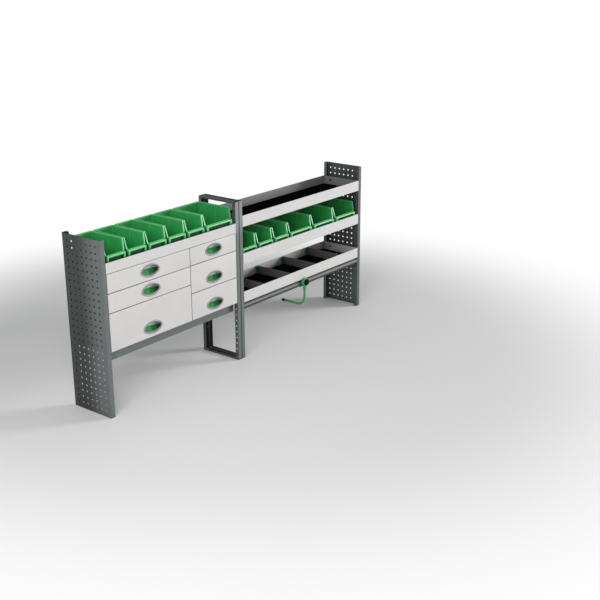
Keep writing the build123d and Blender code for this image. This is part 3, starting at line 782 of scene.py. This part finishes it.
def knob():
    """Fluted clamping knob with a raised middle and its screw."""
    size = looks().hook
    low, high = bounds_of("hook_knob")
    x, z = (low.x + high.x) / 2, (low.z + high.z) / 2
    face = low.y + size.knob_thickness
    grip = bmesh.new()
    sides = outline(size.knob, size.knob_thickness, KNOB_FOOT, KNOB_HEAD)
    profile = [(0, 0), *sides, (0, size.knob_thickness)]
    for vert in turned(grip, profile, lying((x, face, z), "X"), 80):
        flat = Vector((vert.co.x - x, 0, vert.co.z - z))
        if flat.length > size.knob - FLUTE_REACH:
            wave = math.cos(size.flutes * math.atan2(flat.z, flat.x))
            vert.co -= flat.normalized() * size.flute_depth * (0.5 - 0.5 * wave)
    rod(grip, (x, face - SCREW_ROOT, z), (x, high.y, z), size.screw)
    return new_piece("fluted_knob", grip, "knob", "black_plastic", "hook_knob")


def bin_shell(size, width, depth, height):
    """Outside of a bin's walls and floor, open at the mouth and scooped at the front."""
    shell = bmesh.new()
    bmesh.ops.create_cube(shell, size=1)
    half_mouth = width / 2 - size.rim
    front, back = size.bar_reach, depth - size.rim
    for vert in shell.verts:
        top = vert.co.z > 0
        half = half_mouth if top else half_mouth - size.taper
        inset = 0 if top else size.end_taper
        rear = vert.co.y > 0
        vert.co.x = math.copysign(half, vert.co.x)
        vert.co.y = back - inset if rear else front + inset
        vert.co.z = height if top else 0
    upright = [edge for edge in shell.edges if abs(edge.verts[0].co.z - edge.verts[1].co.z) > NEAR]
    round_edges(shell, upright, size.corner, 4)
    foot = [edge for edge in shell.edges if max(vert.co.z for vert in edge.verts) < NEAR]
    round_edges(shell, foot, FOOT_ROUNDING, 3)
    top_faces = [face for face in shell.faces if min(vert.co.z for vert in face.verts) > height - NEAR]
    bmesh.ops.delete(shell, geom=top_faces, context="FACES")
    for place in (size.step_place, size.step_place + size.step):
        cut(shell, (0, place, 0), (0, 1, 0))
    for vert in shell.verts:
        if vert.co.y > size.step_place + size.step / 2:
            vert.co.x -= math.copysign(size.step, vert.co.x)
    slope_foot, slope_normal = slope_plane(size, height)
    for setback in (0, size.pale_band):
        cut(shell, (0, 0, size.lip - setback), (0, 0, 1))
        cut(shell, slope_foot - slope_normal * setback, slope_normal)
    cut(shell, (0, 0, height - size.pale_band), (0, 0, 1))
    cut(shell, (0, 0, size.lip - size.bar), (0, 0, 1))
    gone = []
    for face in shell.faces:
        middle = face.calc_center_median()
        if middle.z > size.lip and (middle - slope_foot).dot(slope_normal) > 0:
            gone.append(face)
    bmesh.ops.delete(shell, geom=gone, context="FACES")
    return shell


def rolled_rim(shell, size, width, depth):
    """Turns the mouth's edge outwards and down as a stiff rim, and gives the walls their thickness."""
    half_mouth = width / 2 - size.rim
    back = depth - size.rim
    mouth = [edge for edge in shell.edges if edge.is_boundary]
    for reach, drop in ((size.rim, 0.0), (0.0, size.rim_drop)):
        verts, mouth = extruded(shell, mouth)
        for vert in verts:
            beside = min(1.0, max(0.0, (abs(vert.co.x) - half_mouth + size.taper) / RIM_EASE))
            behind = min(1.0, max(0.0, (vert.co.y - back + size.corner) / size.corner))
            vert.co.x += math.copysign(reach * beside, vert.co.x)
            vert.co.y += reach * behind
            vert.co.z -= drop
    bmesh.ops.solidify(shell, geom=shell.faces[:], thickness=size.wall)


def grip_bar(tub, size, foot_half):
    """Rounded grip between two end blocks, along the top of the low front wall."""
    half = foot_half + size.taper * LIP_SHARE
    block = max(size.block_share * half * 2, LEAST_BLOCK)
    radius, middle = size.bar / 2, size.lip - size.bar / 2
    back = size.bar_reach + size.end_taper
    rod(tub, (-half + block / 2, radius, middle), (half - block / 2, radius, middle), radius)
    slab(tub, (-half + block, radius, middle), (half - block, back, size.lip), BAR_ROUNDING)
    for side in (-1, 1):
        near, far = sorted((side * half, side * (half - block)))
        slab(tub, (near, 0, size.lip - size.block_height), (far, back, size.lip), BLOCK_ROUNDING, 3)


def mark_edges(tub, size, height):
    """Marks the pale edges and grip for pale green with painted highlights, and the hollow below the grip
    for painted shade.
    """
    layer = tub.verts.layers.float.new(MARK)
    slope_foot, slope_normal = slope_plane(size, height)
    wall_back = size.bar_reach + size.end_taper + size.wall
    band, grip_foot = size.pale_band - NEAR, size.lip - size.bar
    for vert in tub.verts:
        y, z = vert.co.y, vert.co.z
        by_lip = z > size.lip - size.pale_band and y < wall_back
        by_slope = z > size.lip - NEAR and (slope_foot - vert.co).dot(slope_normal) < band
        grip = y < size.bar_reach and grip_foot - NEAR < z < size.lip + NEAR
        hollow = size.bar_reach - NEAR < y < wall_back + NEAR and z < grip_foot + NEAR
        pale = height - z < band or by_slope or by_lip or grip
        # 1: pale edges and grip with painted highlights; -1: painted shade in the hollow.
        vert[layer] = 1.0 if pale else -1.0 if hollow else 0.0


def storage_bin(node):
    """One bin, inside the box of its CAD node."""
    size = looks().bins
    low, high = bounds_of(node)
    width, depth, height = high - low
    tub = bin_shell(size, width, depth, height)
    rolled_rim(tub, size, width, depth)
    grip_bar(tub, size, width / 2 - size.rim - size.taper)
    mark_edges(tub, size, height)
    place = Matrix.Translation(((low.x + high.x) / 2, low.y, low.z))
    bmesh.ops.transform(tub, matrix=place, verts=tub.verts)
    return new_piece(node.replace("bin", "tub"), tub, node, "bin_green", node)


def oval_ring(size, half_length, half_height, inset):
    """Points of a four-arc oval, drawn in by an even margin."""
    end_x = half_length - size.end_radius
    rise = half_height - size.end_radius
    arch = (end_x**2 + rise**2) / (2 * rise) + size.end_radius
    lean = math.atan2(arch - half_height, end_x)
    points = []
    for step in range(OVAL_POINTS):
        angle = 2 * math.pi * step / OVAL_POINTS
        steep = abs(math.sin(angle)) > math.sin(lean)
        radius = (arch if steep else size.end_radius) - inset
        if steep:
            centre = (0, -math.copysign(arch - half_height, math.sin(angle)))
        else:
            centre = (math.copysign(end_x, math.cos(angle)), 0)
        points.append((centre[0] + radius * math.cos(angle), centre[1] + radius * math.sin(angle)))
    return points


def handle_bezel(number):
    """Oval surround with a rounded rim and a finger cup, which is marked for painted light."""
    size = looks().drawers
    node = f"handle_bezel_{number}"
    low, high = bounds_of(node)
    half_length, half_height = (high.x - low.x) / 2, (high.z - low.z) / 2
    rim, cup, depth = size.rim, size.cup_wall, high.y - low.y
    profile = [(rim - cup, depth), (rim - cup, BEZEL_BACK), *BEZEL_OUTSIDE]
    profile += [(rim - inset, back) for inset, back in BEZEL_RIM]
    profile += [(rim + inset, depth - cup - rise) for inset, rise in CUP_FLOOR]
    surround = bmesh.new()
    layer = surround.verts.layers.float.new(MARK)
    ring, edges = circle(surround, OVAL_POINTS, 1)
    centre = Vector(((low.x + high.x) / 2, low.y, (low.z + high.z) / 2))
    for index, (inset, back) in enumerate(profile):
        if index:
            ring, edges = extruded(surround, edges)
        for vert, point in zip(ring, oval_ring(size, half_length, half_height, inset)):
            vert.co = centre + Vector((point[0], back, point[1]))
            # The finger cup's vertices get 1 for painted light.
            vert[layer] = 1.0 if inset > rim else 0.0
    bmesh.ops.contextual_create(surround, geom=edges)
    return new_piece(f"bezel_{number}", surround, f"drawer_{number}", "bezel_grey", node)


def paddle(number):
    """Dished paddle that fills the lower part of the oval, with a pin at each end.

    It is marked from one end to the other: a painted highlight at the lit end of the dish that turns to
    painted shade at the other end.
    """
    size = looks().drawers
    node = f"latch_paddle_{number}"
    bezel_low, bezel_high = bounds_of(f"handle_bezel_{number}")
    low, high = bounds_of(node)
    centre = (bezel_low + bezel_high) / 2
    inset = size.rim + size.paddle_gap
    half_length = (bezel_high.x - bezel_low.x) / 2 - inset
    half_height = (bezel_high.z - bezel_low.z) / 2 - inset
    plate = bmesh.new()
    layer = plate.verts.layers.float.new(MARK)
    bmesh.ops.create_grid(plate, x_segments=PADDLE_GRID[0], y_segments=PADDLE_GRID[1], size=1)
    for vert in plate.verts:
        across, up = vert.co.x, vert.co.y
        vert.co.x = across * math.sqrt(1 - up * up / 2) * half_length
        vert.co.z = up * math.sqrt(1 - across * across / 2) * half_height
        vert.co.y = 0
    cut(plate, (0, 0, size.paddle_top), (0, 0, 1), clear=True)
    for vert in plate.verts:
        along = vert.co.x / half_length
        away = math.hypot(along, vert.co.z / half_height)
        dish = math.sqrt(size.paddle_dish**2 - vert.co.x**2)
        dish -= math.sqrt(size.paddle_dish**2 - half_length**2)
        swell = TOP_SWELL * max(0.0, vert.co.z / size.paddle_top) ** 3
        vert.co.y = PADDLE_SETBACK + dish * (1 - DISH_LOSS * away**2) - swell
        # Painted highlight towards the left end, painted shade towards the right end.
        vert[layer] = max(-0.5, min(1.0, 0.25 - 1.1 * along))
    bmesh.ops.recalc_face_normals(plate, faces=plate.faces)
    bmesh.ops.solidify(plate, geom=plate.faces[:], thickness=size.paddle_thickness)
    place = Matrix.Translation((centre.x, low.y, centre.z))
    bmesh.ops.transform(plate, matrix=place, verts=plate.verts)
    pin_y, pin_z = low.y + PIN_BACK, centre.z - PIN_DROP
    for start, end in ((centre.x - PIN_START, low.x), (centre.x + PIN_START, high.x)):
        rod(plate, (start, pin_y, pin_z), (end, pin_y, pin_z), PIN_RADIUS, 16)
    return new_piece(f"paddle_{number}", plate, f"paddle_{number}", "paddle_green", node)


class RACKING_OT_metal(bpy.types.Operator):
    """Paints the frames, trays, cabinet, dividers, rail and hook, and plates the bolts and runners"""

    bl_idname = "racking.metal"
    bl_label = "Finish the metal"

    def execute(self, context):
        """Makes the finishes and puts them on the CAD nodes."""
        paint = looks().paint
        self.coat_frames(paint)
        self.coat_trays(paint)
        powder_coat("grey_paint", paint.grey, roughness=0.45, wear_and_highlight=1.5)
        low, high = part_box("hook_rail")
        # Painted shade darkening the tube towards its underside.
        below = ("Z", high.z, (low.z * 3 + high.z) / 4, paint.rail_under_shade)
        powder_coat("rail_paint", paint.rail, roughness=0.5, wear_and_highlight=1.5, zones=[below], recess_shade=0.3)
        powder_coat("hook_green", paint.hook, roughness=0.35)
        zinc_plate("zinc", paint.zinc)
        for name, nodes in METAL_NODES.items():
            for node in nodes:
                dress(node, name)
        return {"FINISHED"}

    def coat_frames(self, paint):
        """Paint of the frames: painted shade to the rear, a painted highlight near the top of the middle
        frames, painted shade behind their front faces and a copy with painted shade for the far end.
        """
        # Tints of the frame colour for a painted highlight, painted shade inside the middle frames and
        # painted shade on the far end frame.
        wear_and_highlight, dull, shaded = (tint(paint.frame, factor) for factor in (1.7, 0.5, 0.6))
        front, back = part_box("left_panel")
        # Painted shade darkening the end frames towards the rear.
        rear = ("Y", front.y * 0.9, back.y * 0.45, paint.frame_rear_shade)
        low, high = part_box("middle_left_frame")
        # Painted highlight near the top of the middle frames.
        top_highlight = ("Z", high.z - 0.24, high.z - 0.12, wear_and_highlight)
        # Painted shade on the middle frames behind their front faces.
        behind = ("Y", low.y + MILLIMETRE, low.y + 2 * MILLIMETRE, dull)
        powder_coat("frame_paint", paint.frame)
        powder_coat("end_paint", paint.frame, zones=[rear])
        # Middle frames: painted highlight near the top, painted shade behind the front faces and in the
        # middle seam.
        powder_coat("inner_paint", paint.frame, zones=[top_highlight, behind], seam=high.x)
        # The far end frame: a darker copy of the frame paint, as painted shade.
        powder_coat("right_paint", shaded)

    def coat_trays(self, paint):
        """White paint, greyer inside the trays, with painted shade inside the top tray and a painted
        shadow along the foot of the left tray's lip.
        """
        lip = ("Y", paint.lip_face, paint.lip_face + 2 * MILLIMETRE)
        inside, top_inside_shade = (*lip, paint.tray_inside), (*lip, paint.top_inside_shade)
        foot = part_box("left_tray")[0].z
        # Painted shadow along the foot of the left tray's lip, over the gap to the drawers.
        lip_foot_shade = ("Z", foot + 2 * MILLIMETRE, foot + 0.5 * MILLIMETRE, tint(paint.white, 0.15))
        powder_coat("white_paint", paint.white, roughness=0.38, wear_and_highlight=1.1)
        trays = {"tray_paint": [inside], "top_tray_paint": [top_inside_shade], "left_tray_paint": [inside, lip_foot_shade]}
        for name, zones in trays.items():
            powder_coat(name, paint.white, roughness=0.38, wear_and_highlight=1.18, zones=zones)


class RACKING_OT_plastic(bpy.types.Operator):
    """Makes the plastics and the rubber, and colours the divider clips"""

    bl_idname = "racking.plastic"
    bl_label = "Finish the plastic"

    def execute(self, context):
        """Makes the finishes and puts the clips' green on their CAD node."""
        plastic = looks().plastic
        edges = plastic.bin_edges
        # Bins: painted shade deep inside, pale edges and grips with painted highlights.
        moulded_plastic("bin_green", plastic.bins, 0.33, 1.6, pale_and_lit_colour=edges, recess_shade=0.6, hollow=130.0)
        moulded_plastic("clip_green", plastic.clips, pale=1.6)
        moulded_plastic(
            "paddle_green",
            plastic.paddles,
            roughness=0.45,
            edge_width=0.5,
            grain=0.004,
            pale_and_lit_colour=plastic.paddle_lit_ends,
            recess_shade=0.1,
            gloss=0.06,
        )
        moulded_plastic("bezel_grey", plastic.bezels, pale_and_lit_colour=plastic.cups, recess_shade=0.0)
        moulded_plastic("black_plastic", plastic.black, roughness=0.5, edge_width=0.5, gloss=0.03)
        ribbed_rubber("mat_rubber", plastic.rubber)
        dress("divider_clips", "clip_green")
        return {"FINISHED"}


class RACKING_OT_drawers(bpy.types.Operator):
    """Builds the drawers with rounded fronts"""

    bl_idname = "racking.drawers"
    bl_label = "Build the drawers"

    def execute(self, context):
        """Makes one drawer for each CAD drawer."""
        for number in DRAWER_NUMBERS:
            drawer_front(number)
        return {"FINISHED"}


class RACKING_OT_mats(bpy.types.Operator):
    """Builds the ribbed mats"""

    bl_idname = "racking.mats"
    bl_label = "Build the mats"

    def execute(self, context):
        """Makes both mats as one piece."""
        mats()
        return {"FINISHED"}


class RACKING_OT_hook(bpy.types.Operator):
    """Builds the rail and the sliding hook with its knob"""

    bl_idname = "racking.hook"
    bl_label = "Build the rail and the hook"

    def execute(self, context):
        """Makes the rail, the clamp, the rod, its cap and the knob."""
        rail()
        clamp()
        bent_rod()
        end_cap()
        knob()
        return {"FINISHED"}


class RACKING_OT_bins(bpy.types.Operator):
    """Builds the storage bins"""

    bl_idname = "racking.bins"
    bl_label = "Build the bins"

    def execute(self, context):
        """Makes one bin for each CAD bin."""
        for node in BINS:
            storage_bin(node)
        return {"FINISHED"}


class RACKING_OT_handles(bpy.types.Operator):
    """Builds the drawer handles"""

    bl_idname = "racking.handles"
    bl_label = "Build the handles"

    def execute(self, context):
        """Makes a bezel and a paddle for each drawer."""
        for number in DRAWER_NUMBERS:
            handle_bezel(number)
            paddle(number)
        return {"FINISHED"}


def area_lamp(name, power, place, target):
    """Soft square lamp that points at a target."""
    lamp = bpy.data.lights.new(name, "AREA")
    lamp.energy = power
    lamp.size = LAMP_SIZE
    holder = bpy.data.objects.new(name, lamp)
    holder.location = place
    holder.rotation_euler = (Vector(target) - Vector(place)).to_track_quat("-Z", "Y").to_euler()
    bpy.context.scene.collection.objects.link(holder)


def pale_floor(colour):
    """Matt studio floor that fades into the white background well away from the racking."""
    finish = Finish("studio_floor", colour, start=0.985)
    cloud = finish.noise(0.8, detail=4.0)
    finish.layer(cloud, 1.01)
    matt = finish.surface(0.75 + cloud * 0.08, finish.bump(finish.noise(140.0), 0.05), {})
    glow = finish.node("Emission", None, {"Color": WHITE, "Strength": 1.0})
    distance = finish.node("VectorMath", {"operation": "LENGTH"}, {0: finish.place}, "Value")
    seen, mirrored = (finish.node("LightPath", output=f"Is {kind} Ray") for kind in ("Camera", "Glossy"))
    mask = finish.ramp(distance, *FLOOR_FADE) * (seen + mirrored)
    return finish.close(finish.node("MixShader", None, {0: mask, 1: matt, 2: glow}))


def studio_sky(strength):
    """Even light from all round, white to the camera."""
    sky = Shading(bpy.data.worlds.new("studio_sky"))
    seen = sky.node("LightPath", output="Is Camera Ray")
    light = sky.node("Background", None, {"Color": SKY_COLOUR, "Strength": strength})
    white = sky.node("Background", None, {"Color": WHITE, "Strength": 1.0})
    mixed = sky.node("MixShader", None, {0: seen, 1: light, 2: white})
    return sky.close(mixed, "OutputWorld")


class RACKING_OT_studio(bpy.types.Operator):
    """Builds the floor, the light and the camera"""

    bl_idname = "racking.studio"
    bl_label = "Build the studio"

    def execute(self, context):
        """Makes the stage round the racking."""
        studio = looks().studio
        scene = context.scene
        ground = bmesh.new()
        bmesh.ops.create_grid(ground, x_segments=2, y_segments=2, size=FLOOR_REACH)
        mesh = bpy.data.meshes.new("studio_floor")
        ground.to_mesh(mesh)
        ground.free()
        mesh.materials.append(pale_floor(studio.floor))
        floor = bpy.data.objects.new("studio_floor", mesh)
        scene.collection.objects.link(floor)
        scene.world = studio_sky(studio.sky)
        area_lamp("key_light", studio.key, KEY_PLACE, KEY_TARGET)
        area_lamp("fill_light", studio.fill, FILL_PLACE, FILL_TARGET)
        lens = bpy.data.cameras.new("photo_camera")
        lens.lens = studio.lens
        lens.sensor_width = SENSOR_WIDTH
        camera = bpy.data.objects.new("photo_camera", lens)
        camera.location = studio.camera_place
        yaw, tilt, roll = studio.camera_turn
        turn = Matrix.Rotation(yaw, 3, "Z") @ Matrix.Rotation(tilt, 3, "X") @ Matrix.Rotation(roll, 3, "Z")
        camera.rotation_euler = turn.to_euler()
        scene.collection.objects.link(camera)
        scene.camera = camera
        scene.view_settings.view_transform = "Standard"
        return {"FINISHED"}


class RACKING_PT_panel(bpy.types.Panel):
    """Lists the steps and the settings"""

    bl_idname = "RACKING_PT_panel"
    bl_label = "Racking"
    bl_space_type = "VIEW_3D"
    bl_region_type = "UI"
    bl_category = "Racking"

    def draw(self, context):
        """Draws a button for each step, then the settings."""
        for step in STEPS:
            self.layout.operator(step.bl_idname)
        for group in ("paint", "plastic", "bins", "drawers", "mats", "hook", "studio"):
            column = self.layout.column(heading=group.title())
            settings = getattr(looks(), group)
            for name in settings.__annotations__:
                column.prop(settings, name)


STEPS = (
    RACKING_OT_metal,
    RACKING_OT_plastic,
    RACKING_OT_drawers,
    RACKING_OT_mats,
    RACKING_OT_bins,
    RACKING_OT_handles,
    RACKING_OT_hook,
    RACKING_OT_studio,
)
GROUPS = (
    RackingPaint,
    RackingPlastic,
    RackingBins,
    RackingDrawers,
    RackingMats,
    RackingHook,
    RackingStudio,
    RackingLooks,
)


def register():
    """Registers the settings, the steps and the panel."""
    for group in (*GROUPS, *STEPS, RACKING_PT_panel):
        bpy.utils.register_class(group)
    bpy.types.Scene.racking_looks = PointerProperty(type=RackingLooks)


def unregister():
    """Takes the settings, the steps and the panel away again."""
    del bpy.types.Scene.racking_looks
    for group in reversed((*GROUPS, *STEPS, RACKING_PT_panel)):
        bpy.utils.unregister_class(group)


def main():
    """Runs every step."""
    register()
    bpy.ops.racking.metal()
    bpy.ops.racking.plastic()
    bpy.ops.racking.drawers()
    bpy.ops.racking.mats()
    bpy.ops.racking.bins()
    bpy.ops.racking.handles()
    bpy.ops.racking.hook()
    bpy.ops.racking.studio()


if __name__ == "__main__":
    main()
